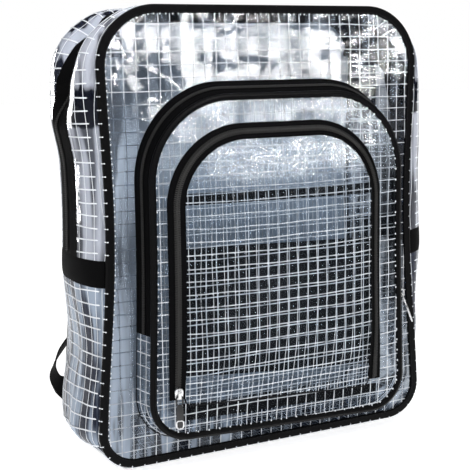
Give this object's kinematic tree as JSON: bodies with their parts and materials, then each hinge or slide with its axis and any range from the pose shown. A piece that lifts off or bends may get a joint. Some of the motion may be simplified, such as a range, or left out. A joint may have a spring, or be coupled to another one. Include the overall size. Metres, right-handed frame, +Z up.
{
  "type": "backpack",
  "caption": "Clear grid-reinforced PVC tool backpack with black bound seams, a zip over the top, a large zipped front pocket with a small one on its face, a padded back and shoulder straps.",
  "frame": {"origin": "middle of the bottom of the whole bag's box, on the surface it stands on", "axes": "+Z up, -Y towards the front pockets, +Y towards the shoulder straps, +X to the viewer's right"},
  "size_m": [0.4234, 0.2192, 0.468],
  "materials": {
    "clear_sheet": "clear flexible PVC with a white thread grid laminated in it",
    "pale_padding": "pale padded cloth",
    "black_cloth": "black woven tape",
    "zip_coil": "black coil zip",
    "zip_metal": "plated zinc",
    "black_plastic": "moulded plastic"
  },
  "bodies": {
    "bag": {"front_panel": "clear_sheet", "back_panel": "pale_padding", "gusset_upper_front": "clear_sheet", "gusset_upper_back": "clear_sheet", "gusset_lower": "clear_sheet", "main_zip_tape": "black_cloth", "main_zip_coil": "zip_coil", "cross_band_right": "black_cloth", "cross_band_left": "black_cloth", "front_binding": "black_cloth", "back_binding": "black_cloth", "main_zip_slider": "zip_metal", "mid_pocket_panel": "clear_sheet", "mid_pocket_piping": "black_cloth", "mid_pocket_zip_tape": "black_cloth", "mid_pocket_zip_coil": "zip_coil", "mid_pocket_gusset": "clear_sheet", "mid_zip_slider": "zip_metal", "small_pocket_panel": "clear_sheet", "small_pocket_zip_tape": "black_cloth", "small_pocket_zip_coil": "zip_coil", "small_zip_slider": "zip_metal", "organizer_panel": "black_cloth", "organizer_band": "black_cloth", "organizer_hem": "black_cloth", "shoulder_pad_right": "black_cloth", "webbing_right": "black_cloth", "ladder_lock_right": "black_plastic", "shoulder_pad_left": "black_cloth", "webbing_left": "black_cloth", "ladder_lock_left": "black_plastic"},
    "mid_pull": {"mid_zip_pull": "zip_metal"},
    "small_pull": {"small_zip_pull": "black_plastic"}
  },
  "joints": [
    {"name": "mid_pull_hinge", "type": "hinge", "parent": "bag", "child": "mid_pull", "pos_m": [0.14587, -0.07183, 0.15725], "axis": [-0.503, -0.8643, 0], "range_deg": [-20, 130]},
    {"name": "small_pull_hinge", "type": "hinge", "parent": "bag", "child": "small_pull", "pos_m": [-0.12956, -0.09882, 0.09359], "axis": [-0.9809, 0.1947, 0], "range_deg": [0, 150]}
  ]
}
